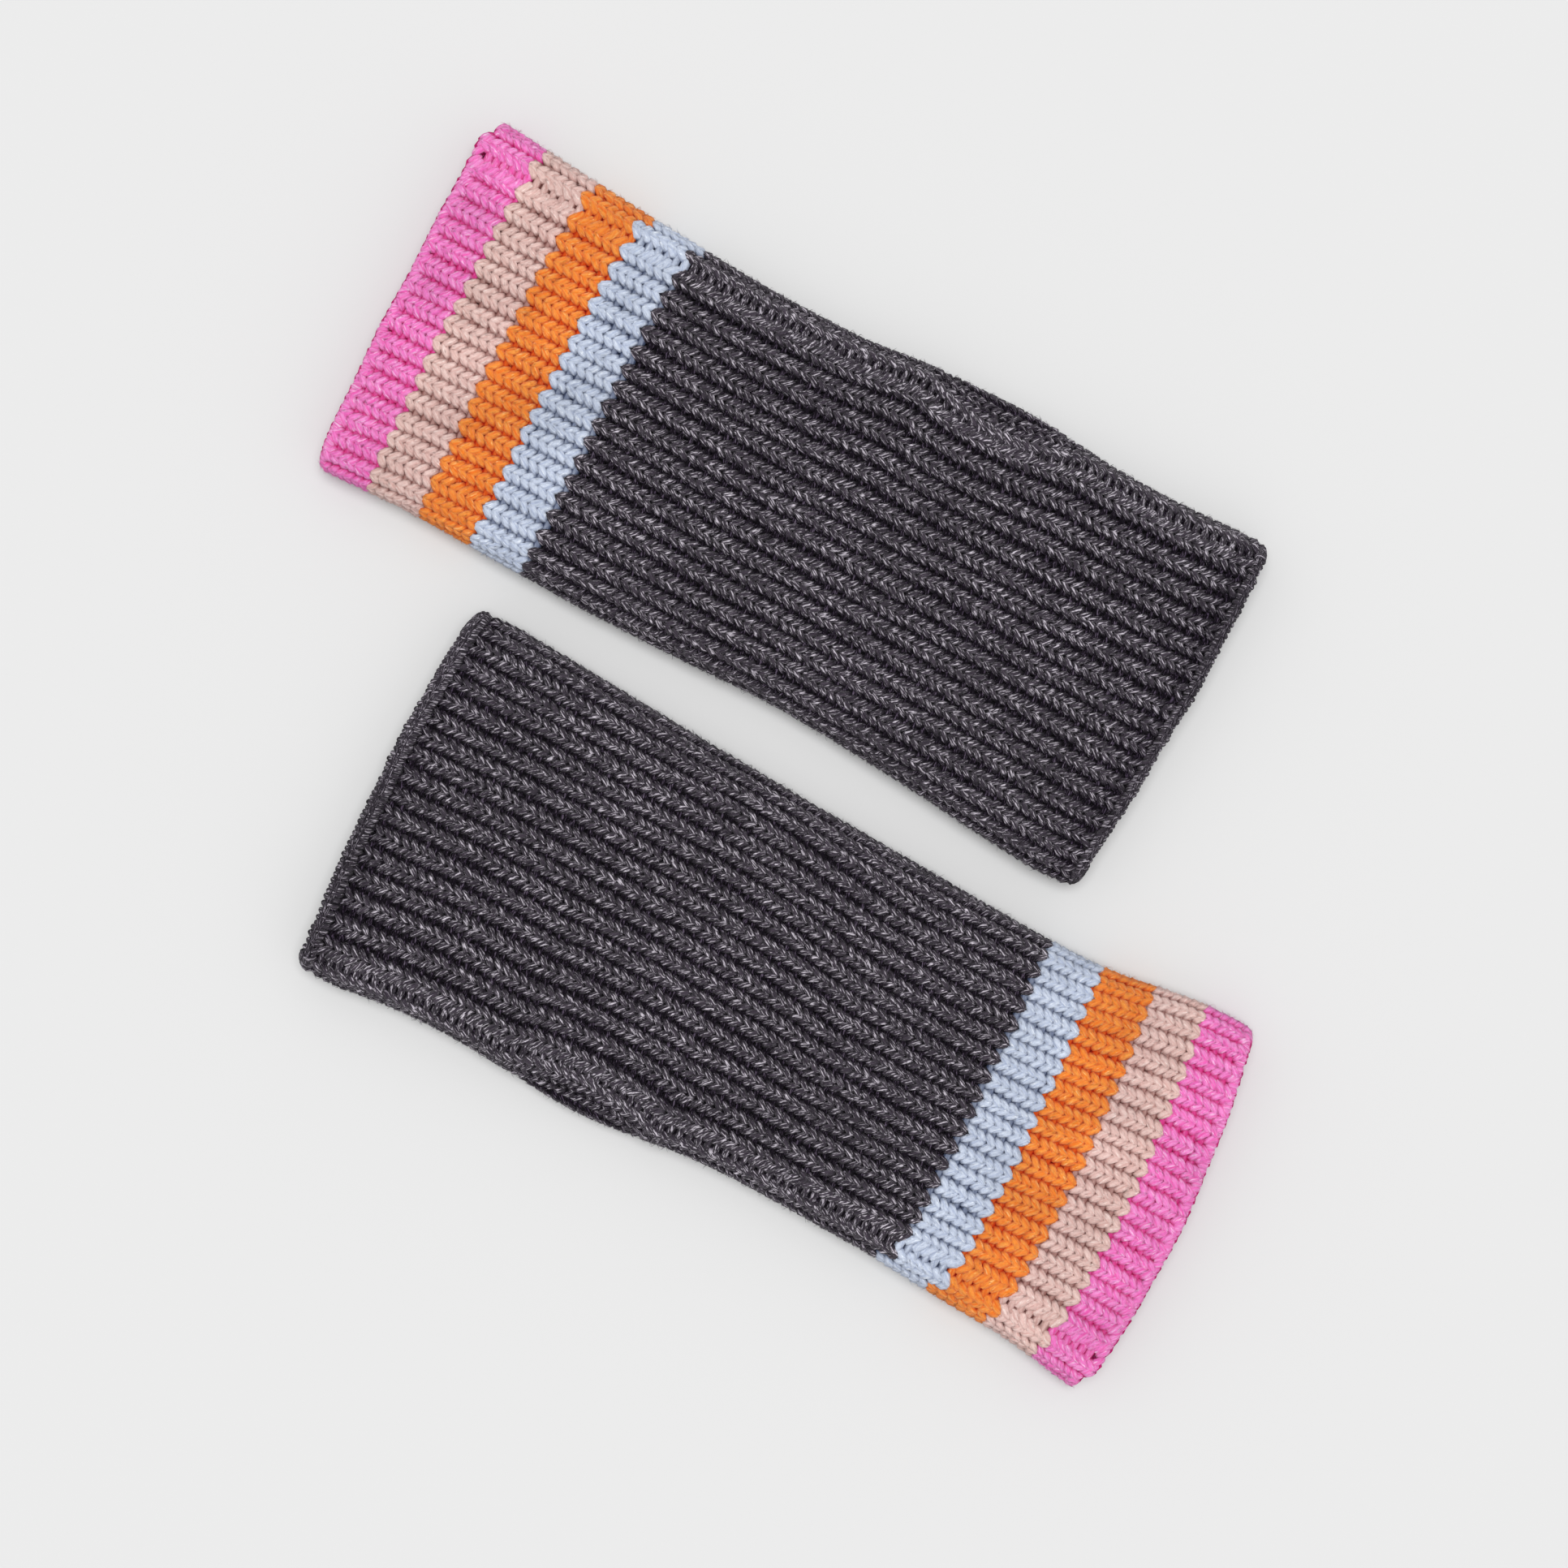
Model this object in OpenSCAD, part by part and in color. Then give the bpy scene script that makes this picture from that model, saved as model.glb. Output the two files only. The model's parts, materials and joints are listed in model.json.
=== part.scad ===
// A pair of rib-knit fingerless gloves lying flat, one beside the other.
// Each glove is a knitted panel wrapped into a flattened tube. The panel's two edges meet in a seam near
// the thumb side, and the seam is left open for the thumb. Glove b is turned by 180 degrees.
// Origin: centre of the pair's footprint, on the surface they lie on. X runs along the gloves.

/* [Knit] */
// Thickness of the knitted wall, two yarns deep
wall = 4.4; // [3.6:0.2:4.6]
// Height of a glove lying flat, both layers and the gap between them
glove_h = 14; // [13.6:0.2:16]
// Length of one knitted course along the glove
course = 2.33; // [2.1:0.01:2.5]
// Courses in each coloured stripe of the cuff
stripe_courses = 6; // [5:1:7]
// Length of the cast-on edge, and of the bound-off edge
edge_w = 1.8; // [1.4:0.1:2.2]
// Radius of the rounded corners at both open ends
corner_r = 3; // [1:0.5:5]

/* [Seam] */
// Half the width of the sewn seam, measured round the tube
seam_half = 1; // [0.6:0.1:1.4]
// Clearance between the seam and the knit on each side of it
seam_gap = 0.25; // [0.2:0.05:0.4]
// How far the seam's ridge stands inside the tube
ridge = 0.8; // [0.4:0.1:0.9]
// Length of the overcast stitches at each end of the thumb slit
tack_l = 2.4; // [2:0.2:4]
// Diameter of the yarn ends left inside
end_d = 1.6; // [1.2:0.1:1.8]
// Length of each yarn end left inside
end_l = 11; // [6:1:12]

/* [Thumb slit] */
// Where the thumb slit starts, from the cuff's edge
slit_from = 119; // [100:1:125]
// Length of the thumb slit
slit_l = 41; // [34:1:46]
// How far the upper lip is drawn back from the seam line
upper_lip = 11; // [8:0.5:12]
// How far the lower lip is dropped from the seam line
lower_lip = 3; // [2:0.5:4]

/* [Pair] */
// Gap left along the line where the cuff turns back
fold_gap = 0.3; // [0.3:0.1:0.5]
// Where the middle of glove a's length lies along X
glove_a_x = -28.3; // [-60:0.1:0]
// Distance between the two gloves' centre lines
glove_step = 102.6; // [101:0.1:120]
// How far the pair's middle lies from the middle of the two centre lines
pair_shift = 0.2; // [0:0.1:1]

/* [Hidden] */

// Gloves, as indexes into the lists below
A = 0;
B = 1;
// Length of each glove
lengths = [209.6, 215.8];
// Outline of the thumb side: distance from the cuff's edge, then distance from the centre line
thumb_side = [
    [[0, 48], [20, 46.5], [45, 44.8], [80, 43.4], [103, 43.8], [119, 46.2], [140, 47.4], [153, 47.2],
     [163, 45.4], [184, 45.2], [200, 46.2], [210, 47.2]],
    [[0, 47.8], [12, 46], [22, 44.5], [38, 44], [62, 42.8], [95, 42.3], [112, 43], [126, 45.6],
     [142, 47.2], [156, 45.8], [172, 44.8], [190, 45.4], [203, 47.4], [216, 48.4]],
];
// Outline of the far side, given the same way
far_side = [
    [[0, 45.2], [23, 43.9], [45, 44.1], [70, 44.7], [100, 44], [121, 42.9], [140, 43.4], [160, 44.6],
     [185, 46.7], [199, 47.7], [210, 47.2]],
    [[0, 47.6], [12, 47.7], [22, 46.6], [34, 44.4], [46, 43.2], [75, 43.7], [130, 45.1], [170, 46.5],
     [208, 48.1], [216, 48]],
];
// Bow of each glove's cuff edge and finger edge: curvature, then the height where it reaches furthest
cuff_bow = [[0.0004, 38], [0.0018, 14]];
finger_bow = [[0.001, 12], [0.0012, -12]];
// How fast an edge's bow dies away along the glove
bow_decay = 1.5;
// Seam line: distance from the cuff's edge, then distance round the tube from the thumb side's apex
seam_line = [[0, 8], [56, 5], [119, 3], [160, 2], [220, 2]];

radius = glove_h / 2;
quarter = PI * radius / 2;
stripe = course * stripe_courses;
fold_at = 4 * stripe;
slit_to = slit_from + slit_l;
glove_b_x = -glove_a_x - (lengths[B] - lengths[A]) / 2;

// Steps between stations along each stripe, the wrist, the thumb slit and the finger stretch
stripe_steps = 3;
wrist_steps = 12;
slit_steps = 12;
finger_steps = 9;
// Stations inside an open end's edge, as shares of its length, and how far the knit is set back there
edge_shares = [0, 0.15, 0.5, 1];
edge_set_back = [[0, 0.9], [0.15, 0.5], [0.5, 0.15], [1, 0]];
// Steps round the tube: beside the seam, over a flat layer, round the far side, round the thumb side
near_seam_steps = 3;
flat_steps = 4;
far_turn_steps = 6;
thumb_turn_steps = 7;
// Distance round the tube that the steps beside the seam cover
near_seam_w = 9;
// How far an overcast stitch stands proud of the seam
tack_proud = 0.3;
// Clearance between a yarn end and the seam's ridge
end_gap = 0.3;
// How far the middle of a yarn end lies before its colour change
end_set_back = end_l / 2 + 1;

pink = [0.93, 0.36, 0.72];
beige = [0.86, 0.72, 0.66];
orange = [0.97, 0.5, 0.2];
blue = [0.74, 0.8, 0.9];
charcoal = [0.26, 0.25, 0.28];

// ---- Shape of the knitted wall ----

// Distance from a point along the glove to the nearer open end
function to_end(g, u) = min(u, lengths[g] - u);
// How far the outline is drawn in at a rounded corner
function corner(g, u) =
    let (x = min(to_end(g, u), corner_r))
    corner_r - sqrt(corner_r ^ 2 - (corner_r - x) ^ 2);
function thumb_y(g, u) = lookup(u, thumb_side[g]) - corner(g, u);
function far_y(g, u) = corner(g, u) - lookup(u, far_side[g]);
function flat_w(g, u) = thumb_y(g, u) - far_y(g, u) - 2 * radius;
// Distance all the way round the tube
function girth(g, u) = 4 * quarter + 2 * flat_w(g, u);

// How far the two edges' bows move a point along the glove
function bow(b, y) = b[0] * (y - b[1]) ^ 2;
function bow_shift(g, u, y) =
    let (k = u / lengths[g])
    bow(cuff_bow[g], y) * (1 - k) ^ bow_decay - bow(finger_bow[g], y) * k ^ bow_decay;

// Point on the wall: u along the glove, t round the tube from the thumb side's apex and over the top,
// d below the outer face
function wall_point(g, u, t, d) =
    let (
        s = t > girth(g, u) / 2 ? t - girth(g, u) : t,
        side = s < 0 ? -1 : 1,
        a = abs(s),
        flat = flat_w(g, u),
        c = radius - d,
        thumb_turn = 90 * a / quarter,
        far_turn = 90 * (a - quarter - flat) / quarter,
        y = a < quarter ? thumb_y(g, u) - radius + c * cos(thumb_turn)
            : a < quarter + flat ? thumb_y(g, u) - radius - (a - quarter)
            : far_y(g, u) + radius - c * sin(far_turn),
        z = a < quarter ? c * sin(thumb_turn) : a < quarter + flat ? c : c * cos(far_turn)
    )
    [u - lengths[g] / 2 + bow_shift(g, u, y), y, radius + side * z];

// ---- Stations along a glove ----

function steps(from, to, n) = [for (i = [0 : n]) from + (to - from) * i / n];
function later_steps(from, to, n) = [for (i = [1 : n]) from + (to - from) * i / n];
function stations(g) = concat(
    [for (e = edge_shares) e * edge_w],
    later_steps(edge_w, stripe, stripe_steps),
    [for (k = [1 : 2]) each later_steps(k * stripe, (k + 1) * stripe, stripe_steps)],
    later_steps(3 * stripe, fold_at - fold_gap / 2, stripe_steps),
    steps(fold_at + fold_gap / 2, slit_from - tack_l, wrist_steps),
    steps(slit_from, slit_to, slit_steps),
    steps(slit_to + tack_l, lengths[g] - edge_w, finger_steps),
    [for (i = [2 : -1 : 0]) lengths[g] - edge_shares[i] * edge_w]
);
function between(g, from, to) = [for (u = stations(g)) if (u > from - 0.01 && u < to + 0.01) u];

// ---- Lines round the tube ----

function seam_t(u) = lookup(u, seam_line);
// How far open the thumb slit is: 1 in its middle, 0 at its ends and beyond
function slit_open(u) = max(0, 1 - ((2 * u - slit_from - slit_to) / slit_l) ^ 4);
// Places round the tube where a ring of the knitted panel has its points, from the upper lip to the lower
panel_ring = function (g, u)
    let (
        upper = seam_t(u) + seam_half + seam_gap + upper_lip * slit_open(u),
        lower = seam_t(u) - seam_half - seam_gap - lower_lip * slit_open(u),
        top_end = quarter + flat_w(g, u),
        turn_end = top_end + 2 * quarter,
        bottom_end = girth(g, u) - quarter
    )
    concat(
        steps(upper, upper + near_seam_w, near_seam_steps),
        later_steps(upper + near_seam_w, top_end, flat_steps),
        later_steps(top_end, turn_end, far_turn_steps),
        later_steps(turn_end, bottom_end, flat_steps),
        later_steps(bottom_end, girth(g, u) + lower, thumb_turn_steps)
    );
// The same for a ring of the seam
seam_ring = function (g, u) steps(seam_t(u) - seam_half, seam_t(u) + seam_half, 2);

// ---- Solids ----

// Outer face of a ring, then its inner face the other way round
function ring_points(g, u, turns, proud, deeper) =
    let (back = lookup(to_end(g, u) / edge_w, edge_set_back))
    concat(
        [for (t = turns) wall_point(g, u, t, back - proud)],
        [for (i = [len(turns) - 1 : -1 : 0]) wall_point(g, u, turns[i], wall - back + deeper)]
    );
// Two triangles over four corners
function quad(a, b, c, d) = [[a, b, c], [a, c, d]];
// The knitted wall between two stations, over the part of the tube that ring() gives
module knit(g, from, to, ring, proud = 0, deeper = 0) {
    at = between(g, from, to);
    rings = [for (u = at) ring_points(g, u, ring(g, u), proud, deeper)];
    n = len(rings[0]);
    last = (len(at) - 1) * n;
    sides = [for (j = [0 : len(at) - 2]) for (i = [0 : n - 1]) let (k = (i + 1) % n)
        each quad(j * n + i, j * n + k, (j + 1) * n + k, (j + 1) * n + i)];
    start = [for (i = [0 : n / 2 - 2]) each quad(i, n - 1 - i, n - 2 - i, i + 1)];
    end = [for (i = [0 : n / 2 - 2]) each quad(last + i, last + i + 1, last + n - 2 - i, last + n - 1 - i)];
    polyhedron([for (r = rings) each r], concat(sides, start, end));
}
// Moves a glove from its own frame to its place in the pair
module place(g) {
    if (g == A) translate([glove_a_x, pair_shift + glove_step / 2, 0]) children();
    if (g == B) translate([glove_b_x, pair_shift - glove_step / 2, 0]) rotate(180) children();
}

// ---- Sub-parts ----

module cast_on_edge(g) {
    place(g) color(pink) knit(g, 0, edge_w, panel_ring);
}
module pink_band(g) {
    place(g) color(pink) knit(g, edge_w, stripe, panel_ring);
}
module beige_band(g) {
    place(g) color(beige) knit(g, stripe, 2 * stripe, panel_ring);
}
module orange_band(g) {
    place(g) color(orange) knit(g, 2 * stripe, 3 * stripe, panel_ring);
}
module blue_band(g) {
    place(g) color(blue) knit(g, 3 * stripe, fold_at - fold_gap / 2, panel_ring);
}
module charcoal_hand(g) {
    place(g) color(charcoal) knit(g, fold_at + fold_gap / 2, lengths[g] - edge_w, panel_ring);
}
module bind_off_edge(g) {
    place(g) color(charcoal) knit(g, lengths[g] - edge_w, lengths[g], panel_ring);
}
module cuff_seam(g) {
    place(g) color(orange) knit(g, 0, fold_at - fold_gap / 2, seam_ring, deeper = ridge);
}
module wrist_seam(g) {
    place(g) color(charcoal) knit(g, fold_at + fold_gap / 2, slit_from - tack_l, seam_ring, deeper = ridge);
}
module finger_seam(g) {
    place(g) color(charcoal) knit(g, slit_to + tack_l, lengths[g], seam_ring, deeper = ridge);
}
// The overcast stitches at both ends of the thumb slit
module slit_tacks(g) {
    place(g) color(charcoal) {
        knit(g, slit_from - tack_l, slit_from, seam_ring, proud = tack_proud, deeper = ridge);
        knit(g, slit_to, slit_to + tack_l, seam_ring, proud = tack_proud, deeper = ridge);
    }
}
// One round-ended tail of yarn under the seam's ridge, its middle at u
module yarn_end(g, u) {
    reach = (end_l - end_d) / 2;
    hull() {
        for (at = [u - reach, u + reach])
            translate(wall_point(g, at, seam_t(at), wall + ridge + end_gap + end_d / 2))
                sphere(d = end_d, $fn = 16);
    }
}
// The tails of the cuff's yarns, one just before each colour change
module yarn_ends(g) {
    place(g) {
        color(pink) yarn_end(g, stripe - end_set_back);
        color(beige) yarn_end(g, 2 * stripe - end_set_back);
        color(orange) yarn_end(g, 3 * stripe - end_set_back);
        color(blue) yarn_end(g, fold_at - end_set_back);
    }
}

cast_on_edge(A);  // cast_on_edge_a
pink_band(A);  // pink_band_a
beige_band(A);  // beige_band_a
orange_band(A);  // orange_band_a
blue_band(A);  // blue_band_a
charcoal_hand(A);  // charcoal_hand_a
bind_off_edge(A);  // bind_off_edge_a
cuff_seam(A);  // cuff_seam_a
wrist_seam(A);  // wrist_seam_a
finger_seam(A);  // finger_seam_a
slit_tacks(A);  // slit_tacks_a
yarn_ends(A);  // yarn_ends_a
cast_on_edge(B);  // cast_on_edge_b
pink_band(B);  // pink_band_b
beige_band(B);  // beige_band_b
orange_band(B);  // orange_band_b
blue_band(B);  // blue_band_b
charcoal_hand(B);  // charcoal_hand_b
bind_off_edge(B);  // bind_off_edge_b
cuff_seam(B);  // cuff_seam_b
wrist_seam(B);  // wrist_seam_b
finger_seam(B);  // finger_seam_b
slit_tacks(B);  // slit_tacks_b
yarn_ends(B);  // yarn_ends_b
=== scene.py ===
"""A pair of rib-knit fingerless gloves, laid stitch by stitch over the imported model.

Every course is one yarn that runs across the knitted panel through a front loop and a back loop in turn.
Lengths are in millimetres until a mesh is made, where MM turns them into metres. In a glove's own frame u
runs from the cuff's edge, t runs round the tube from the thumb side's apex and over the top, v counts ribs
round the panel from its upper edge, and d is the depth below the outer face.
"""
import json
import math

import bpy
import numpy as np
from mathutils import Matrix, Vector


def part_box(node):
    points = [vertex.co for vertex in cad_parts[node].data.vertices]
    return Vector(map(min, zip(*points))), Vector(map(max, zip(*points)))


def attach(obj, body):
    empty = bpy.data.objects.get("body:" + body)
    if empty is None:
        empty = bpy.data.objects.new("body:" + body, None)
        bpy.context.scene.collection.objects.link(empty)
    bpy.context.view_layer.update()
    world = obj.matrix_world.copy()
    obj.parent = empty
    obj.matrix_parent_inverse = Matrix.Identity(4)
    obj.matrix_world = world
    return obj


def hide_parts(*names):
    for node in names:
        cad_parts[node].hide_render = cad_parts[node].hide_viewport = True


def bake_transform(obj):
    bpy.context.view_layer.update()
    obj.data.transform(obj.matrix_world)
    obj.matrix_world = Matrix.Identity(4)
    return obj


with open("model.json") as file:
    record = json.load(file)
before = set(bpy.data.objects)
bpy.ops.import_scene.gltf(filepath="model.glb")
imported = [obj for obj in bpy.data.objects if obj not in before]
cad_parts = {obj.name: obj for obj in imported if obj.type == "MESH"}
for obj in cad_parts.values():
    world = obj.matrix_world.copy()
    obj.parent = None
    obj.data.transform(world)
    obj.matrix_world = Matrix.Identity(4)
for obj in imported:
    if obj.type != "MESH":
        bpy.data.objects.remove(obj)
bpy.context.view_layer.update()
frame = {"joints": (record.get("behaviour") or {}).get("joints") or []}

MM = 0.001
# The panel: wall thickness, ribs from edge to edge, and courses in a stripe
WALL = 4.4
RIBS = 39
STRIPE_COURSES = 6
COURSE = 2.33
# How far each edge of the panel laps over the seam's line
SEAM_LAP = 0.15
# The extra width of the gutter between the first two ribs, in ribs
GUTTER = 0.42
# Radius of the knitting yarns, and the share of their depth that lying flat takes away
YARN = 1.06
CHARCOAL_YARN = 0.85
FLATTENED = 0.12
# Turn of the plies along the yarn, in radians a millimetre
TWIST = 0.4
# Width of the cast-on edge at the cuff
CUFF_EDGE = 1.3
# Radius of the outline's corners, reach of its smoothing, and the power by which its bows die away
CORNER = 3
SMOOTHING = 5
BOW_DECAY = 1.5
# How far round the tube from the thumb side's apex the seam lies, along the glove
SEAM_LINE = [(0, 8), (56, 5), (119, 3), (160, 2), (220, 2)]
# Where along the glove the thumb slit starts and ends
SLIT = (120, 160.5)
# How far the thumb slit draws the upper edge back, by ribs from that edge
LIP_PULL = [(0, 6.6), (0.85, 6.6), (1.2, 4.2), (2.5, 2.7), (5, 1.2), (9, 0)]
# How much of a glove's drift each rib takes
DRIFT_REACH = [(0, 0), (1, 0.1), (3, 0.55), (6, 0.9), (9, 1), (12, 1), (17, 0.75), (26, 0)]
# How much of a glove's gather moves each rib back towards the upper edge
GATHER = [(0, 0), (18, 1), (39, 0)]
# How far the lower edge reaches up under the upper one in the slit, and how flat it lies there
LIP_REACH = 9.5
LIP_FLAT = 0.31
# How far the panel's lower edge lies nearer the fingers than its upper edge, along the glove
EDGE_SLIP = [(0, 2.2), (14, 1.6), (28, 2.2), (42, 4.4), (58, 4.2), (100, 1), (119, 0), (220, 0)]
# Half of a loop from its head to its foot: half ribs across, courses along, depth
HALF_LOOP = [
    (0, 1.2, 3.1), (0.3, 1.16, 3.1), (0.6, 1.0, 3.1), (0.72, 0.78, 2.6), (0.7, 0.58, 1.9),
    (0.57, 0.38, 1.28), (0.37, 0.17, 1.0), (0.16, -0.06, 0.96), (0.12, -0.28, 1.5), (0.2, -0.46, 2.3),
    (0.5, -0.52, 2.6),
]
# How much deeper than the wall's middle the back loops lie, so that the grooves between ribs are deep
BACK_DROP = 0.8
# Points of yarn in a front loop and in a back loop
FRONT_STEPS = 14
BACK_STEPS = 9
# Loose fibres that lift off each stitch
FUZZ = 6
# The stripes from the cuff's edge on
STRIPES = ("pink", "beige", "orange", "blue")


def smoothstep(x):
    x = np.clip(x, 0, 1)
    return x * x * (3 - 2 * x)


def along(table, x):
    """A table of (place, value) pairs, read at x."""
    places, values = zip(*table)
    return np.interp(x, places, values)


def soft_outline(table, length):
    """The outline's (places, values) with its corners smoothed out."""
    places = np.arange(-20, length + 21)
    reach = np.arange(-15, 16)
    weights = np.exp(-0.5 * (reach / SMOOTHING) ** 2)
    return places, np.convolve(along(table, places), weights / weights.sum(), mode="same")


def in_gutter(v):
    """How much a rib place belongs to the wide gutter between the first two ribs."""
    return np.exp(-((v - 1.02) / 0.3) ** 2)


class Glove:
    """One glove's place and outline. turn is 1, or -1 for a glove turned by 180 degrees. thumb_side and
    far_side are the outline's distances from the centre line. Each bow is a curve's strength and the place
    of its middle. finger_edge is the bound-off edge's width, drift how far the first ribs lean away from
    the seam, and gather how far the middle ones stand nearer to it."""

    def __init__(
        self, letter, turn, thumb_side, far_side, cuff_bow, finger_bow, finger_edge, drift, gather
    ):
        joint = next(j for j in frame["joints"] if j["name"] == f"cuff_{letter}_fold")
        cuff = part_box(f"cast_on_edge_{letter}")
        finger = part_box(f"bind_off_edge_{letter}")
        self.letter = letter
        self.turn = turn
        self.cuff_x = (cuff[0].x if turn > 0 else cuff[1].x) / MM
        self.centre_y = joint["pos_m"][1] / MM
        self.length = abs((finger[1].x if turn > 0 else finger[0].x) / MM - self.cuff_x)
        self.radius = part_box(f"charcoal_hand_{letter}")[1].z / MM / 2
        self.fold = abs(joint["pos_m"][0] / MM - self.cuff_x)
        self.stripe = self.fold / 4
        self.hand = f"glove_{letter}"
        self.cuff = f"cuff_{letter}"
        self.thumb_side = soft_outline(thumb_side, self.length)
        self.far_side = soft_outline(far_side, self.length)
        self.cuff_bow = cuff_bow
        self.finger_bow = finger_bow
        self.finger_edge = finger_edge
        self.drift = drift
        self.gather = gather
        # Sets the small waves of the two gloves apart
        self.phase = 0.0 if turn > 0 else 2.1

    def outline(self, u):
        """Distances of the thumb side and the far side from the centre line."""
        end = np.clip(np.minimum(u, self.length - u), 0, CORNER)
        corner = CORNER - np.sqrt(CORNER**2 - (CORNER - end) ** 2)
        thumb = np.interp(u, *self.thumb_side) - corner
        far = corner - np.interp(u, *self.far_side)
        return thumb, far

    def girth(self, u):
        """The way round the flattened tube's outer face."""
        thumb, far = self.outline(u)
        return 2 * math.pi * self.radius + 2 * (thumb - far - 2 * self.radius)

    def bow_shift(self, u, y):
        """How far the bows of the two ends move a place along the glove."""
        k = np.clip(u / self.length, 0, 1)
        cuff = self.cuff_bow[0] * (y - self.cuff_bow[1]) ** 2
        finger = self.finger_bow[0] * (y - self.finger_bow[1]) ** 2
        return cuff * (1 - k) ** BOW_DECAY - finger * k**BOW_DECAY

    def tube(self, u, t, d):
        """Points of the flattened tube's wall, in the glove's own frame."""
        r = self.radius
        quarter = math.pi * r / 2
        thumb, far = self.outline(u)
        flat = thumb - far - 2 * r
        girth = 4 * quarter + 2 * flat
        s = np.where(t > girth / 2, t - girth, t)
        a = np.abs(s)
        c = r - d
        near = a / r
        away = (a - quarter - flat) / r
        on_thumb = a < quarter
        on_flat = a < quarter + flat
        y = np.where(on_thumb, thumb - r + c * np.cos(near),
                     np.where(on_flat, thumb - r - (a - quarter), far + r - c * np.sin(away)))
        z = np.where(on_thumb, c * np.sin(near), np.where(on_flat, c, c * np.cos(away)))
        z = r + np.sign(s) * z
        # The upper layer lies in slow waves
        wave = 0.35 * np.sin(u / 23 + self.phase) * np.sin(y / 14 + 1.3 * self.phase)
        wave += 0.25 * np.sin(u / 11 + y / 19 + 2 * self.phase)
        z = z + smoothstep((z - r) / r) * (wave - 0.4)
        return np.stack([u + self.bow_shift(u, y), y, z], axis=-1)

    def slit_open(self, u):
        """How far open the thumb slit is: 1 in its middle, 0 at its ends and beyond."""
        x = (2 * u - SLIT[0] - SLIT[1]) / (SLIT[1] - SLIT[0])
        return np.clip(1 - x**2, 0, 1) ** 0.8

    def relief(self, u, v):
        """How far the panel sinks: its edges curl in at the seam, the back loops come up in the wide
        gutter, there is a neck before the bound-off end, and one edge lies under the other in the slit. The
        yarns take the same sinking into their painted shade, so these places are also painted darker, and
        the raised gutter lighter."""
        open_here = self.slit_open(u)
        curl = (0.15 + 1.1 * open_here) * (1 - smoothstep(np.minimum(v, RIBS - v) / 0.4))
        rise = along([(self.fold - 2, 0.35), (self.fold + 2, 0.9)], u) * in_gutter(v)
        neck = 0.35 * np.exp(-((self.length - u - 5.5) / 2.2) ** 2)
        under = 0.15 * open_here * smoothstep((v - RIBS + 3) / 1.5)
        return curl - rise + neck + under

    def panel(self, u, v, d):
        """Points of the knitted panel."""
        d = d + self.relief(u, v)
        # The lower edge slips along, the whole panel wanders a little
        u = u + along(EDGE_SLIP, u) * smoothstep((v - RIBS + 5) / 4.5)
        u = u + 0.25 * np.sin(v / 2.7 + u / 31 + self.phase) + 0.15 * np.sin(v / 0.9 + self.phase)
        open_here = self.slit_open(u)
        seam = along(SEAM_LINE, u)
        share = (v + GUTTER * np.clip((v - 0.8) / 0.45, 0, 1)) / (RIBS + GUTTER)
        width = self.girth(u) + 2 * SEAM_LAP
        t = seam - SEAM_LAP + share * width
        t = t + open_here * along(LIP_PULL, v) + along(self.drift, u) * along(DRIFT_REACH, v)
        t = t - self.gather * along(GATHER, v)
        below = (1 - share) * width
        t = t + open_here * LIP_REACH * np.exp(-below / 18)
        t = t + 0.22 * np.sin(v * 1.9 + u / 19 + self.phase) + 0.12 * np.sin(v * 5.1 + u / 9)
        points = self.tube(u, t, d)
        flat = 1 - LIP_FLAT * open_here * smoothstep(1 - below / 25)
        points[..., 2] = points[..., 2] * flat
        return points

    def seam(self, u, across, d):
        """Points beside the seam line, across from it round the tube."""
        return self.tube(u, along(SEAM_LINE, u) + across, d)

    def place(self, points):
        """Moves points from the glove's own frame to the row frame, in metres."""
        placed = points * np.array([self.turn, self.turn, 1])
        return (placed + np.array([self.cuff_x, self.centre_y, 0])) * MM

    def lay(self, surface, u, v, d):
        """Points of a yarn on a surface of this glove, and the wall's outward direction at each."""
        points = self.place(surface(u, v, d))
        outward = points - self.place(surface(u, v, d + 0.2))
        return points, outward / np.linalg.norm(outward, axis=-1, keepdims=True)


GLOVES = [
    Glove(
        "a", 1,
        [(0, 48), (20, 46.5), (45, 44.8), (80, 43.4), (103, 43.8), (119, 46.2), (140, 47.4), (153, 47.2),
         (163, 45.4), (184, 45.2), (200, 46.2), (210, 47.2)],
        [(0, 45.2), (23, 43.9), (45, 44.1), (70, 44.7), (100, 44), (121, 42.9), (140, 43.4), (160, 44.6),
         (185, 46.7), (199, 47.7), (210, 47.2)],
        (0.0004, 38), (0.001, 12), 2.2,
        [(60, 0), (80, 0.7), (93, 1.6), (108, 2.6), (123, 4.1), (138, 4.7), (153, 4.5), (168, 3.6),
         (183, 2.7)],
        1.5,
    ),
    Glove(
        "b", -1,
        [(0, 47.8), (12, 46), (22, 44.5), (38, 44), (62, 42.8), (95, 42.3), (112, 43), (126, 45.6),
         (142, 47.2), (156, 45.8), (172, 44.8), (190, 45.4), (203, 47.4), (216, 48.4)],
        [(0, 47.6), (12, 47.7), (22, 46.6), (34, 44.4), (46, 43.2), (75, 43.7), (130, 45.1), (170, 46.5),
         (208, 48.1), (216, 48)],
        (0.0018, 14), (0.0012, -12), 3.6,
        [(70, 0), (93, 0.6), (108, 2.8), (123, 5), (138, 6.4), (153, 6.2), (168, 5.6), (198, 5)],
        4.5,
    ),
]


# ---- Yarn as a mesh ----

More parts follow.
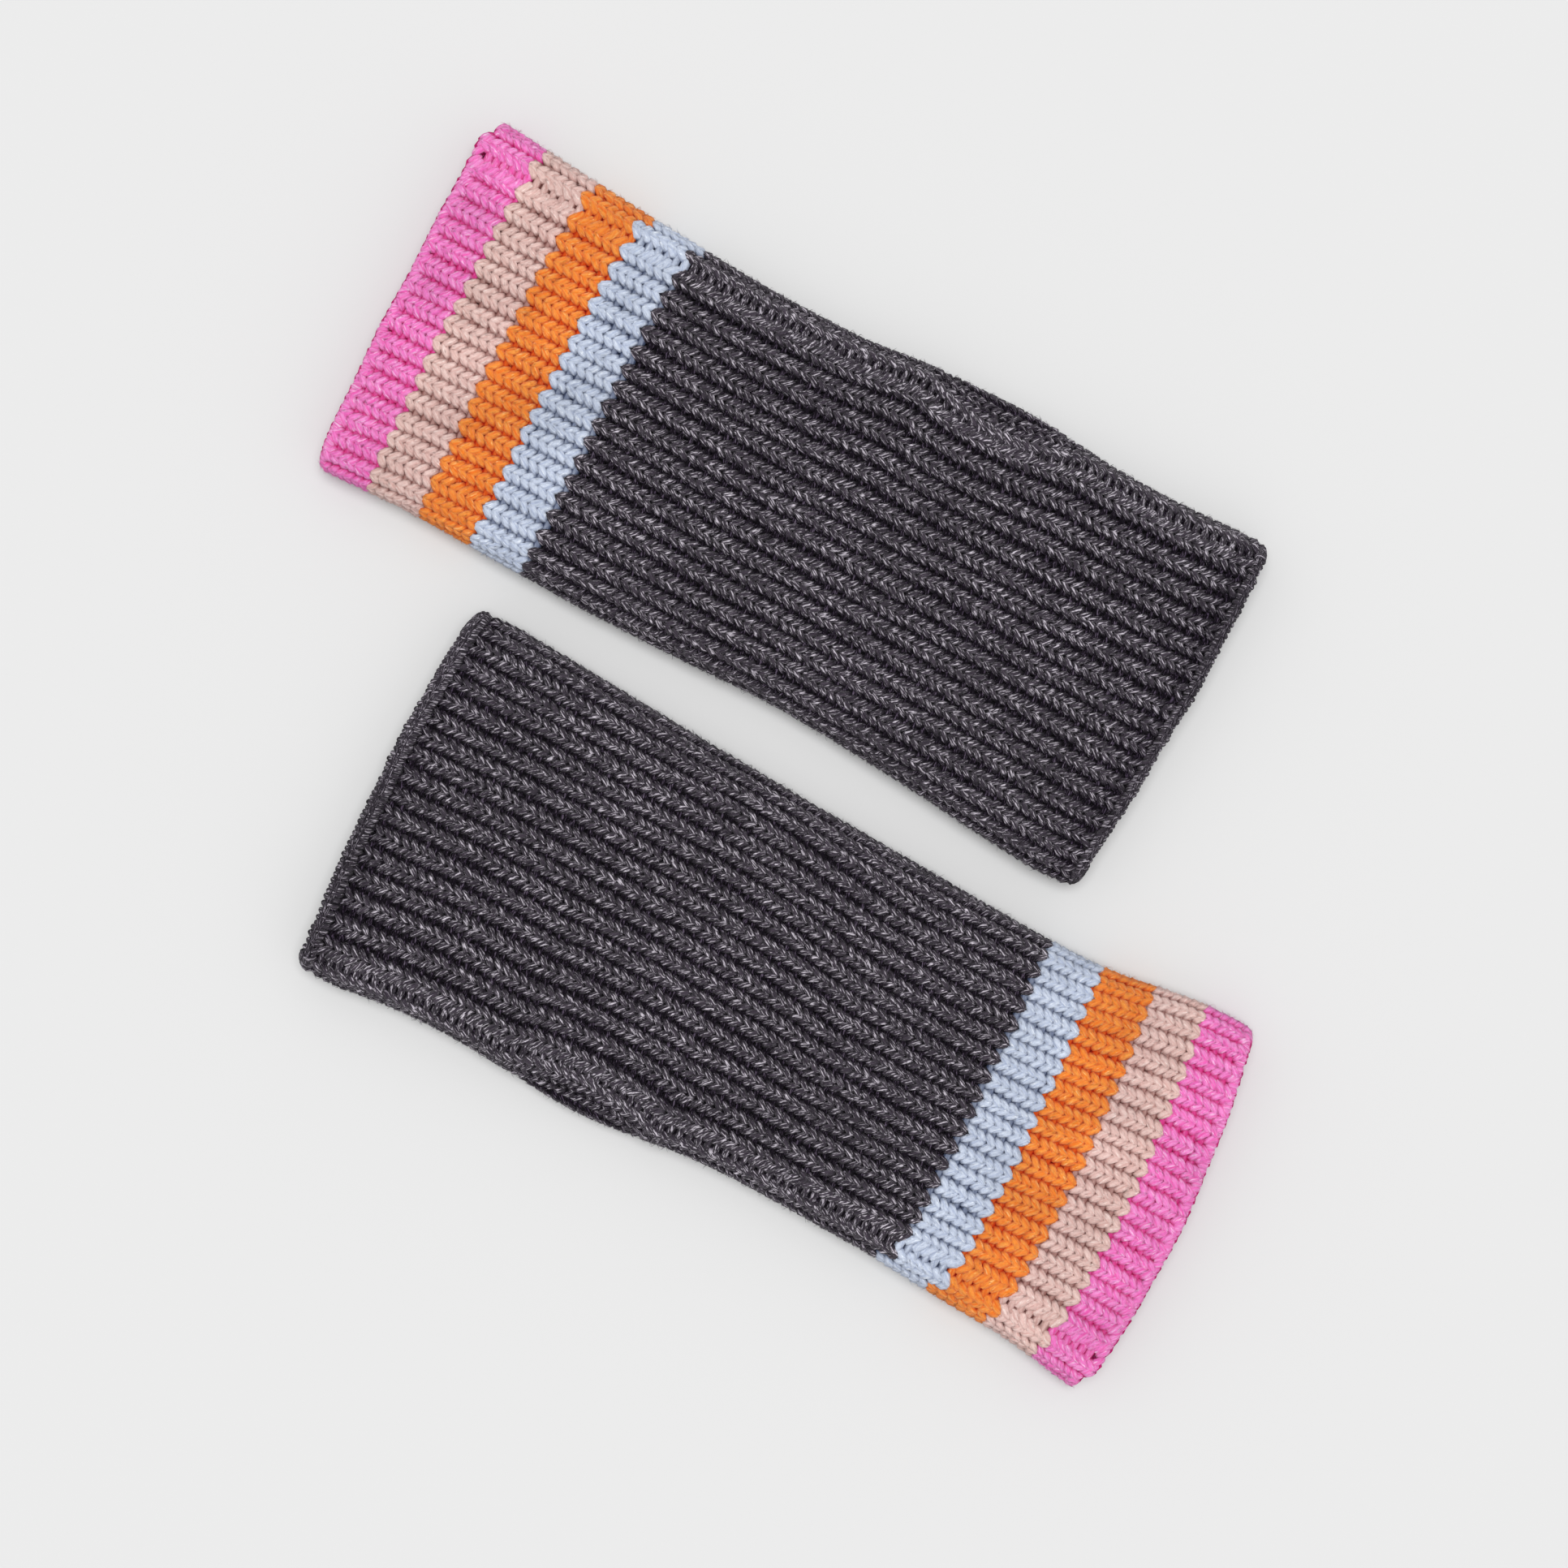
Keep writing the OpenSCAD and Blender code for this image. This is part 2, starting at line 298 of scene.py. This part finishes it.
def spline(points, steps):
    """A smooth curve through points, resampled to equal steps."""
    p = np.array(points, float)
    p = np.vstack([2 * p[0] - p[1], p, 2 * p[-1] - p[-2]])
    k = np.linspace(0, 1, 16, endpoint=False)[:, None]
    dense = []
    for a, b, c, e in zip(p, p[1:], p[2:], p[3:]):
        dense.append(0.5 * (2 * b + (c - a) * k + (2 * a - 5 * b + 4 * c - e) * k**2
                            + (3 * b - a - 3 * c + e) * k**3))
    dense = np.vstack(dense + [p[-2:-1]])
    run = np.concatenate([[0], np.cumsum(np.linalg.norm(np.diff(dense, axis=0), axis=1))])
    at = np.linspace(0, run[-1], steps + 1)
    return np.stack([np.interp(at, run, dense[:, i]) for i in range(3)], axis=-1)


def frames(paths):
    """A tangent and two unit normals at each point, carried along each path without twist."""
    tangent = np.gradient(paths, axis=1)
    tangent /= np.linalg.norm(tangent, axis=-1, keepdims=True)
    first = np.empty_like(tangent)
    normal = np.cross(tangent[:, 0], [0.31, 0.17, 0.93])
    for i in range(paths.shape[1]):
        t = tangent[:, i]
        normal = normal - (normal * t).sum(-1, keepdims=True) * t
        normal = normal / np.linalg.norm(normal, axis=-1, keepdims=True)
        first[:, i] = normal
    return first, np.cross(tangent, first)


def yarn_mesh(name, paths, radius, outward, depth, rows=1, sides=6, seed=1):
    """Closed round yarns along paths, an array of strands by points by 3. rows cuts each strand's map."""
    strands, count = paths.shape[:2]
    normal, side = frames(paths)
    turn = np.arange(sides) * 2 * math.pi / sides
    radius = np.broadcast_to(np.asarray(radius, float) * MM, (strands, count))[:, :, None, None]
    ring = radius * (np.cos(turn)[None, None, :, None] * normal[:, :, None]
                     + np.sin(turn)[None, None, :, None] * side[:, :, None])
    out = outward[:, :, None]
    rise = (ring * out).sum(-1, keepdims=True) * (1 - FLATTENED)
    ring = ring - (ring * out).sum(-1, keepdims=True) * out + rise * out
    co = paths[:, :, None] + ring

    index = np.arange(strands * count * sides).reshape(strands, count, sides)
    turned = np.roll(index, -1, axis=2)
    quads = np.stack([index[:, :-1], turned[:, :-1], turned[:, 1:], index[:, 1:]], axis=-1)
    quads = quads.reshape(-1, 4)
    caps = np.concatenate([index[:, 0, ::-1], index[:, -1]])
    mesh = bpy.data.meshes.new(name)
    mesh.vertices.add(co.size // 3)
    mesh.vertices.foreach_set("co", co.astype(np.float32).ravel())
    mesh.loops.add(quads.size + caps.size)
    mesh.loops.foreach_set("vertex_index", np.concatenate([quads.ravel(), caps.ravel()]))
    total = np.concatenate([np.full(len(quads), 4), np.full(len(caps), sides)])
    mesh.polygons.add(len(total))
    mesh.polygons.foreach_set("loop_start", np.concatenate([[0], np.cumsum(total)[:-1]]))
    mesh.polygons.foreach_set("use_smooth", np.ones(len(total), bool))

    # One row of the map for each stretch of a strand
    step = math.ceil((count - 1) / rows)
    at = np.arange(count - 1)
    left = (at % step) / step
    right = left + 1 / step
    row = np.arange(strands)[:, None] * rows + at // step
    low = row[:, :, None] + np.arange(sides) / sides
    high = low + 1 / sides
    left, right = (np.broadcast_to(x[None, :, None], low.shape) for x in (left, right))
    corners = [(left, low), (left, high), (right, high), (right, low)]
    uv = np.stack([np.stack([x, y / (strands * rows)], -1) for x, y in corners], axis=-2)
    cap_uv = np.full((caps.size, 2), 0.001)
    layer = mesh.uv_layers.new(name="OFBake")
    layer.data.foreach_set("uv", np.concatenate([uv.reshape(-1, 2), cap_uv]).astype(np.float32).ravel())

    # Where each point lies on its yarn: run along it in millimetres, and the turn round it
    random = np.random.default_rng(seed)
    run = np.linalg.norm(np.diff(paths, axis=1), axis=-1).cumsum(axis=1) / MM
    run = np.concatenate([np.zeros((strands, 1)), run], axis=1)
    angle = turn[None, None] + TWIST * run[:, :, None]
    run = run + random.uniform(0, 4000, (strands, 1))
    run = np.broadcast_to(run[:, :, None], angle.shape)
    yarn = np.stack([run, np.cos(angle), np.sin(angle)], axis=-1)
    mesh.attributes.new("yarn", "FLOAT_VECTOR", "POINT").data.foreach_set(
        "vector", yarn.astype(np.float32).ravel())
    # How deep each point lies in the knit, from the nearer face, which the material turns into painted shade
    below = depth[:, :, None] - rise[..., 0] / MM
    below = np.minimum(below, WALL + BACK_DROP - below)
    mesh.attributes.new("depth", "FLOAT", "POINT").data.foreach_set(
        "value", below.astype(np.float32).ravel())
    mesh.update(calc_edges=True)
    piece = bpy.data.objects.new(name, mesh)
    bpy.context.scene.collection.objects.link(piece)
    return piece


# ---- Yarn as a material ----

def linear(red, green, blue):
    """Screen colour, 0 to 255, as the linear colour that a shader takes."""
    return tuple(((c / 255 + 0.055) / 1.055) ** 2.4 for c in (red, green, blue)) + (1,)


class Nodes:
    """Short ways to add shader nodes to a material."""

    def __init__(self, material):
        self.tree = material.node_tree
        self.tree.nodes.clear()

    def add(self, kind, inputs=(), **settings):
        node = self.tree.nodes.new(kind)
        for key, value in settings.items():
            setattr(node, key, value)
        for key, value in dict(inputs).items():
            if isinstance(value, bpy.types.NodeSocket):
                self.tree.links.new(value, node.inputs[key])
            else:
                node.inputs[key].default_value = value
        return node

    def math(self, operation, *values):
        return self.add("ShaderNodeMath", dict(enumerate(values)), operation=operation).outputs[0]

    def remap(self, value, low, high, to_low=0, to_high=1):
        inputs = {"Value": value, "From Min": low, "From Max": high, "To Min": to_low, "To Max": to_high}
        return self.add("ShaderNodeMapRange", inputs).outputs["Result"]

    def noise(self, vector, scale, detail=2):
        inputs = {"Vector": vector, "Scale": scale, "Detail": detail}
        return self.add("ShaderNodeTexNoise", inputs).outputs["Fac"]

    def mix(self, factor, a, b, blend="MIX"):
        node = self.add("ShaderNodeMix", data_type="RGBA", blend_type=blend)
        for key, value in (("Factor_Float", factor), ("A_Color", a), ("B_Color", b)):
            socket = next(s for s in node.inputs if s.identifier == key)
            if isinstance(value, bpy.types.NodeSocket):
                self.tree.links.new(value, socket)
            else:
                socket.default_value = value
        return next(s for s in node.outputs if s.identifier == "Result_Color")


def yarn_material(name, painted_ply_shade, body, light, fleck, fleck_from, painted_shade_from, painted_shade_rgb):
    """Plied wool: its first colour is a painted shade between the plies and among the fibres, body and light
    on its fibres, and flecks above fleck_from.
    Deep in the knit a painted shade leaves the last argument's share of red, green and blue, from the depth
    that the one before it gives on, and fades the sheen and gloss there too."""
    material = bpy.data.materials.new(name)
    material.use_nodes = True
    n = Nodes(material)
    yarn = n.add("ShaderNodeAttribute", attribute_name="yarn").outputs["Vector"]
    split = n.add("ShaderNodeSeparateXYZ", {0: yarn}).outputs
    turn = n.math("ARCTAN2", split[2], split[1])
    ply = n.math("ABSOLUTE", n.math("COSINE", n.math("MULTIPLY", turn, 1.5)))
    groove = n.remap(ply, 0, 0.5, 0, 1)

    def stretched(length):
        """Yarn coordinates in millimetres, drawn out so that a spot is length times as long as wide."""
        run = n.math("DIVIDE", split[0], length)
        across = n.math("MULTIPLY", split[1], YARN)
        up = n.math("MULTIPLY", split[2], YARN)
        return n.add("ShaderNodeCombineXYZ", {0: run, 1: across, 2: up}).outputs[0]

    fibres = n.noise(stretched(10), 9, 3)
    streaks = n.noise(stretched(6), 2, 2)
    flecks = n.remap(n.noise(stretched(3.5), 2.5, 1), fleck_from, fleck_from + 0.13)
    where = n.add("ShaderNodeTexCoord").outputs["Object"]
    patches = n.remap(n.noise(where, 55, 2), 0.3, 0.7, 0.9, 1.08)
    # How deep each point lies in the knit, which darkens the yarn there as painted shade
    depth = n.add("ShaderNodeAttribute", attribute_name="depth").outputs["Fac"]
    painted_shade_mask = n.remap(depth, painted_shade_from, 1.5)
    sheen_left_by_painted_shade = n.remap(depth, painted_shade_from, 1.5, 1, 0.2)

    tone = n.mix(n.remap(streaks, 0.32, 0.68), body, light)
    # Painted shade among the fibres, in the first colour
    tone = n.mix(n.remap(fibres, 0.3, 0.6, 0.45, 0), tone, painted_ply_shade)
    tone = n.mix(flecks, tone, fleck)
    # Painted shade in the grooves between the plies, in the first colour
    tone = n.mix(n.math("MULTIPLY", n.math("SUBTRACT", 1, groove), 0.4), tone, painted_ply_shade)
    shade = n.add("ShaderNodeCombineColor", {0: patches, 1: patches, 2: patches}).outputs[0]
    tone = n.mix(1.0, tone, shade, "MULTIPLY")
    # Painted shade deep in the knit, between the loops and the ribs
    tone = n.mix(painted_shade_mask, tone, painted_shade_rgb + (1,), "MULTIPLY")

    height = n.math("ADD", n.math("MULTIPLY", groove, 0.35), n.math("MULTIPLY", fibres, 1.2))
    bump = n.add("ShaderNodeBump", {"Strength": 0.9, "Distance": 0.3 * MM, "Height": height})
    roughness = n.remap(fibres, 0.3, 0.7, 0.85, 1)
    # The sheen and gloss fade with the same painted shade, so the grooves read darker
    shader = n.add("ShaderNodeBsdfPrincipled", {
        "Base Color": tone, "Roughness": roughness, "Normal": bump.outputs[0],
        "Specular IOR Level": n.math("MULTIPLY", sheen_left_by_painted_shade, 0.08),
        "Sheen Weight": n.math("MULTIPLY", sheen_left_by_painted_shade, 0.15), "Sheen Roughness": 0.5,
    })
    n.add("ShaderNodeOutputMaterial", {"Surface": shader.outputs[0]})
    return material


# Each yarn: a painted shade colour for the plies and fibres, body, light, fleck, where flecks start, where
# the painted shade of the knit's depths starts, and the share of red, green and blue that painted shade
# leaves
YARNS = {
    "pink": yarn_material("pink_wool", linear(226, 50, 138), linear(233, 104, 187), linear(240, 157, 216),
                          linear(244, 192, 226), 0.6, 0.7, (0.68, 0.07, 0.32)),
    "beige": yarn_material("beige_wool", linear(190, 134, 125), linear(221, 185, 178), linear(234, 207, 200),
                           linear(242, 222, 215), 0.62, 0.7, (0.34, 0.2, 0.19)),
    "orange": yarn_material("orange_wool", linear(226, 78, 16), linear(232, 126, 38), linear(239, 158, 72),
                            linear(244, 180, 112), 0.62, 0.7, (0.6, 0.1, 0.04)),
    "blue": yarn_material("blue_wool", linear(130, 145, 182), linear(190, 199, 216), linear(212, 220, 234),
                          linear(230, 236, 245), 0.62, 0.7, (0.12, 0.14, 0.21)),
    "charcoal": yarn_material("charcoal_wool", linear(14, 11, 17), linear(40, 33, 44), linear(76, 67, 79),
                              linear(205, 198, 208), 0.54, 0.4, (0.14, 0.11, 0.16)),
}


# ---- Pieces ----

def finish_piece(piece, glove, colour, body, *nodes):
    """Gives a piece its yarn, hides the nodes it stands for, and attaches it to the body it moves with; a
    piece for the fold only has its transform applied and stays unattached.
    """
    piece.data.materials.append(YARNS[colour])
    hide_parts(*(f"{node}_{glove.letter}" for node in nodes))
    if body == "fold":
        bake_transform(piece)
    else:
        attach(piece, body)
    return piece


def stripe_body(glove, k):
    """What stripe k moves with: the turned cuff, or, past the first two stripes, the fold, which leaves it
    unattached with its transform applied.
    """
    return glove.cuff if k < 2 else "fold"


def course_path():
    """One rib repeat of a course, a front loop then a back loop: across in ribs, along, depth, sway."""
    half = np.array(HALF_LOOP)
    mirrored = half[::-1] * [-1, 1, 1]
    front = np.vstack([mirrored, half[1:]])
    # The points are spread evenly in millimetres, for ribs about two courses apart
    scale = np.array([2.45, COURSE, 1])
    back = spline(front * scale, BACK_STEPS) / scale
    front = spline(front * scale, FRONT_STEPS) / scale
    back[:, 2] = WALL + BACK_DROP - back[:, 2]
    back[:, 0] += 1
    # Only the front loops sway from stitch to stitch
    sway = np.concatenate([np.sin(np.pi * np.arange(FRONT_STEPS) / FRONT_STEPS) ** 2, np.zeros(BACK_STEPS)])
    repeat = np.vstack([front[:-1], back[:-1]])
    return np.column_stack([repeat[:, 0] / 2, repeat[:, 1:], sway])


def courses(glove, name, start, pitch, count, radius, squeeze, seed):
    """count courses of the panel in a yarn of this radius, from start along the glove. squeeze is how
    much narrower than usual the front loops are."""
    random = np.random.default_rng(seed)
    repeat = course_path()
    rib = np.arange(RIBS)[None, :, None]
    shape = (count, RIBS, 1)
    sway = repeat[None, None, :, 3]
    v = rib + 0.5 + repeat[None, None, :, 0] * (1 + sway * random.normal(-2 * squeeze, 0.09, shape))
    v = v + sway * random.normal(0, 0.018, shape)
    along_by = repeat[None, None, :, 1] + sway * random.normal(0, 0.08, shape)
    d = repeat[None, None, :, 2] + sway * random.normal(0, 0.12, shape)
    u = start + (np.arange(count)[:, None, None] + along_by) * pitch
    u, v, d = (x.reshape(count, -1)[:, : RIBS * repeat.shape[0] - BACK_STEPS] for x in (u, v, d))
    # At both edges the yarn turns up or down to meet the next course
    row = start + np.arange(count)[:, None] * pitch
    way = np.where(np.arange(count) % 2 == 0, 1, -1)[:, None]
    turn_u = np.array([-0.38, -0.32, -0.2, 0.02])
    turn_way = np.array([0, 0.08, 0.2, 0.42])
    turn_v = np.array([0.2, 0.1, 0.03, 0.0])
    turn_d = np.array([2.2, 2.1, 2.0, 2.0])
    left_u = row + (turn_u + way * turn_way) * pitch
    right_u = row + (turn_u - way * turn_way) * pitch
    left_v = np.broadcast_to(turn_v, left_u.shape)
    edge_d = np.broadcast_to(turn_d, left_u.shape)
    u = np.hstack([left_u[:, ::-1], u, right_u])
    v = np.hstack([left_v[:, ::-1], v, RIBS - left_v])
    d = np.hstack([edge_d[:, ::-1], d, edge_d])
    points, outward = glove.lay(glove.panel, u, v, d)
    # The depth for the painted shade takes in the panel's relief, so the neck, the curled edges and the
    # lower edge under the slit are painted darker besides lying deeper
    d = d + glove.relief(u, v)
    swell = radius * (1 + 0.25 * in_gutter(v))
    knit = yarn_mesh(f"{name}_knit_{glove.letter}", points, swell, outward, d, rows=3, seed=seed)
    number = count * RIBS * FUZZ
    fuzz = loose_fibres(f"{name}_fuzz_{glove.letter}", points, radius, outward, d, number, seed)
    return knit, fuzz


def loose_fibres(name, points, radius, outward, depth, count, seed):
    """Loose fibres that lift off the yarns where they show: points, outward and depth as in yarn_mesh."""
    random = np.random.default_rng(seed)
    sheen_left_by_painted_shade = np.argwhere((depth < 1.7) & (outward[..., 2] > -0.3))
    strand, place = sheen_left_by_painted_shade[random.integers(len(sheen_left_by_painted_shade), size=count)].T
    heading = np.gradient(points, axis=1)[strand, place]
    heading /= np.linalg.norm(heading, axis=-1, keepdims=True)
    heading *= random.choice([-1, 1], (count, 1))
    out = outward[strand, place]
    side = np.cross(heading, out)
    side /= np.linalg.norm(side, axis=-1, keepdims=True)
    turn = random.uniform(-1.3, 1.3, (count, 1))
    lift = np.cos(turn) * np.cross(side, heading) + np.sin(turn) * side
    reach = random.uniform(0.3, 0.8, (count, 1)) * MM
    root = points[strand, place] + lift * 0.85 * radius * MM
    middle = root + reach * (0.8 * heading + random.uniform(0.15, 0.5, (count, 1)) * lift)
    bend = random.normal(0, 0.4, (count, 1)) * side + random.normal(0, 0.3, (count, 1)) * lift
    tip = middle + reach * (0.7 * heading + bend)
    paths = np.stack([root, middle, tip], axis=1)
    lifts = np.repeat(lift[:, None], 3, axis=1)
    # The loose fibres count as near the surface, so the painted shade of the knit stays off them
    depth = np.full((count, 3), 0.4)
    return yarn_mesh(name, paths, [0.042, 0.036, 0.012], lifts, depth, sides=3, seed=seed)


def make_stripes(glove):
    """Six courses of each stripe's yarn, the first of them behind the cast-on edge."""
    for k, colour in enumerate(STRIPES):
        start = k * glove.stripe if k else CUFF_EDGE + 0.4
        pitch = ((k + 1) * glove.stripe - start) / STRIPE_COURSES
        for piece in courses(glove, colour, start, pitch, STRIPE_COURSES, YARN, 0, 10 + k):
            finish_piece(piece, glove, colour, stripe_body(glove, k), f"{colour}_band")


def make_hand(glove):
    """The charcoal hand in four lengths, of which the first, at the cuff's fold, is left unattached with its
    transform applied.
    """
    length = glove.length - glove.finger_edge - glove.fold
    count = round(length / COURSE)
    pitch = length / count
    breaks = [round(count * k / 4) for k in range(5)]
    for k, part in enumerate(("wrist", "heel", "palm", "knuckle")):
        start = glove.fold + breaks[k] * pitch
        number = breaks[k + 1] - breaks[k]
        for piece in courses(glove, part, start, pitch, number, CHARCOAL_YARN, 0.08, 20 + k):
            finish_piece(piece, glove, "charcoal", "fold" if k == 0 else glove.hand, "charcoal_hand")


def edge_wrap(glove, name, middle, seed, per_rib, reach, radius, height, depth):
    """A yarn wound over one end's lip, per_rib turns for each rib. reach and height are half the wrap's
    size along the glove and through the wall, and depth is how deep it counts for its shading."""
    turns = RIBS * per_rib
    steps = 10
    k = np.arange(turns * steps + 1) / steps
    angle = 2 * math.pi * k
    random = np.random.default_rng(seed)
    wander = np.repeat(random.normal(0, 0.12, turns + 1), steps)[: len(k)]
    u = middle + reach * np.cos(angle) + wander * np.abs(np.cos(angle))
    d = WALL / 2 - height * np.sin(angle)
    v = 0.1 + (RIBS - 0.2) * k / turns
    points, outward = glove.lay(glove.panel, u[None], v[None], d[None])
    # One depth for the whole wrap sets how much painted shade its material lays on
    depth = np.full((1, len(u)), depth)
    return yarn_mesh(name, points, radius, outward, depth, rows=RIBS // 3, sides=8, seed=seed)


def make_cast_on(glove):
    """The rolled edge that the cuff starts from."""
    piece = edge_wrap(glove, f"cast_on_{glove.letter}", CUFF_EDGE, 31, 4, 0.5, 0.92, 1, 0.8)
    finish_piece(piece, glove, "pink", glove.cuff, "cast_on_edge")


def make_bind_off(glove):
    """The finger end's lip and the chain of bound-off stitches on it."""
    end = glove.length
    reach = glove.finger_edge / 2 - 0.2
    middle = end - 0.75 - reach
    wrap = edge_wrap(glove, f"bind_off_lip_{glove.letter}", middle, 32, 4, reach, 0.72, 0.78, 1.2)
    finish_piece(wrap, glove, "charcoal", glove.hand, "bind_off_edge")
    # One link of the chain: half widths along the glove, links round it, depth
    link = np.array([
        (-0.3, -0.2, 2.3), (-0.35, 0.1, 1.2), (-0.8, 0.6, 0.75), (-0.85, 1.0, 1.0), (-0.45, 1.35, 1.7),
        (0.45, 1.35, 1.7), (0.85, 1.0, 1.0), (0.8, 0.6, 0.75), (0.35, 0.1, 1.2), (0.3, -0.2, 2.3),
        (0, 0.3, 2.8),
    ])
    links = RIBS * 2 - 2
    chain = np.vstack([link + [0, k, 0] for k in range(links)])
    scale = np.array([0.95, 2.6, 1])
    chain = spline(chain * scale, links * 16) / scale
    u = end - 0.5 + glove.finger_edge * (0.16 * chain[:, 0] - 0.4)
    v = 0.4 + (RIBS - 0.8) * chain[:, 1] / links
    d = chain[None, :, 2] + 0.2
    points, outward = glove.lay(glove.panel, u[None], v[None], d)
    radius = 0.3 + 0.04 * glove.finger_edge
    # The chain counts 0.3 deeper than it lies, for a little more painted shade
    piece = yarn_mesh(f"bind_off_chain_{glove.letter}", points, radius, outward, d + 0.3, rows=12, seed=33)
    finish_piece(piece, glove, "charcoal", glove.hand, "bind_off_edge")


def make_seam(glove, name, colour, body, node, start, end):
    """Sewing yarn that goes from edge to edge of the panel, deep in the seam."""
    turns = max(2, round((end - start) / (2 * COURSE)))
    k = np.linspace(0, 1, turns * 10 + 1)
    angle = 2 * math.pi * turns * k
    u = start + (end - start) * k
    d = (2.5 + 0.5 * np.cos(2 * angle))[None]
    points, outward = glove.lay(glove.seam, u[None], 1.1 * np.sin(angle)[None], d)
    piece = yarn_mesh(f"{name}_{glove.letter}", points, 0.6, outward, d, seed=41)
    finish_piece(piece, glove, colour, body, node)


def make_seams(glove):
    """The cuff seam in each stripe's own yarn, and the two charcoal seams on both sides of the slit."""
    for k, colour in enumerate(STRIPES):
        make_seam(glove, f"cuff_seam_{colour}", colour, stripe_body(glove, k), "cuff_seam",
                  max(1.5, k * glove.stripe), (k + 1) * glove.stripe)
    make_seam(glove, "wrist_seam_start", "charcoal", "fold", "wrist_seam", glove.fold, glove.fold + 9)
    make_seam(glove, "wrist_seam_run", "charcoal", glove.hand, "wrist_seam", glove.fold + 9, SLIT[0])
    make_seam(glove, "finger_seam_run", "charcoal", glove.hand, "finger_seam", SLIT[1], glove.length - 1.5)


def make_tacks(glove):
    """Overcast stitches over the seam at both ends of the thumb slit."""
    for place, start in (("wrist", SLIT[0] - 2.6), ("finger", SLIT[1])):
        k = np.linspace(0, 1, 31)
        angle = 2 * math.pi * 3 * k
        u = start + 2.6 * k
        d = (2.2 - 1.6 * np.sin(angle))[None]
        points, outward = glove.lay(glove.seam, u[None], 1.7 * np.cos(angle)[None], d)
        piece = yarn_mesh(f"slit_tack_{place}_{glove.letter}", points, 0.5, outward, d, seed=51)
        finish_piece(piece, glove, "charcoal", glove.hand, "slit_tacks")


def make_tails(glove):
    """The cuff yarns' ends, left inside under the seam before each colour change."""
    for k, colour in enumerate(STRIPES):
        along_by = np.linspace(-5.5, 5.5, 23)
        u = (k + 1) * glove.stripe - 6.5 + along_by
        across = 0.8 * np.sin(along_by / 2.6 + k)
        d = 6.2 + 0.15 * np.cos(along_by / 1.9 + k)
        points, outward = glove.lay(glove.seam, u[None], across[None], d[None])
        taper = 0.75 * np.sqrt(np.clip(1 - np.abs(along_by / 5.6) ** 6, 0.02, 1))
        piece = yarn_mesh(f"tail_{colour}_{glove.letter}", points, taper, outward, d[None], seed=61 + k)
        finish_piece(piece, glove, colour, stripe_body(glove, k), "yarn_ends")


for glove in GLOVES:
    make_cast_on(glove)
    make_stripes(glove)
    make_hand(glove)
    make_bind_off(glove)
    make_seams(glove)
    make_tacks(glove)
    make_tails(glove)


# ---- Floor, light and camera ----

def make_floor():
    """A pale floor that reaches far beyond the view."""
    bpy.ops.mesh.primitive_plane_add(size=6)
    floor = bpy.context.object
    floor.name = "floor"
    material = bpy.data.materials.new("pale_paper")
    material.use_nodes = True
    shader = material.node_tree.nodes["Principled BSDF"]
    shader.inputs["Base Color"].default_value = (0.59, 0.59, 0.59, 1)
    shader.inputs["Roughness"].default_value = 0.95
    shader.inputs["Specular IOR Level"].default_value = 0.1
    floor.data.materials.append(material)


def make_light(direction, strength, angle):
    """A wide soft light that falls evenly from one direction, without fading over the floor."""
    data = bpy.data.lights.new("key", "SUN")
    data.energy = strength
    data.angle = math.radians(angle)
    light = bpy.data.objects.new("key", data)
    light.rotation_euler = Vector(direction).to_track_quat("-Z", "Y").to_euler()
    bpy.context.scene.collection.objects.link(light)


def make_world(strength):
    """White light from all around."""
    world = bpy.data.worlds.new("studio")
    world.use_nodes = True
    background = world.node_tree.nodes["Background"]
    background.inputs["Color"].default_value = (1, 1, 1, 1)
    background.inputs["Strength"].default_value = strength
    bpy.context.scene.world = world


def make_camera():
    """Straight down, with the gloves lying at a slant in the frame."""
    data = bpy.data.cameras.new("camera")
    data.lens = 100
    data.sensor_width = 36
    camera = bpy.data.objects.new("camera", data)
    camera.location = (0.0017, -0.006, 1.03)
    camera.rotation_euler = (0, 0, math.radians(28.6))
    bpy.context.scene.collection.objects.link(camera)
    bpy.context.scene.camera = camera


make_floor()
make_light((0.012, -0.083, -1), 2.5, 32)
make_world(0.63)
make_camera()
bpy.context.scene.view_settings.view_transform = "Standard"
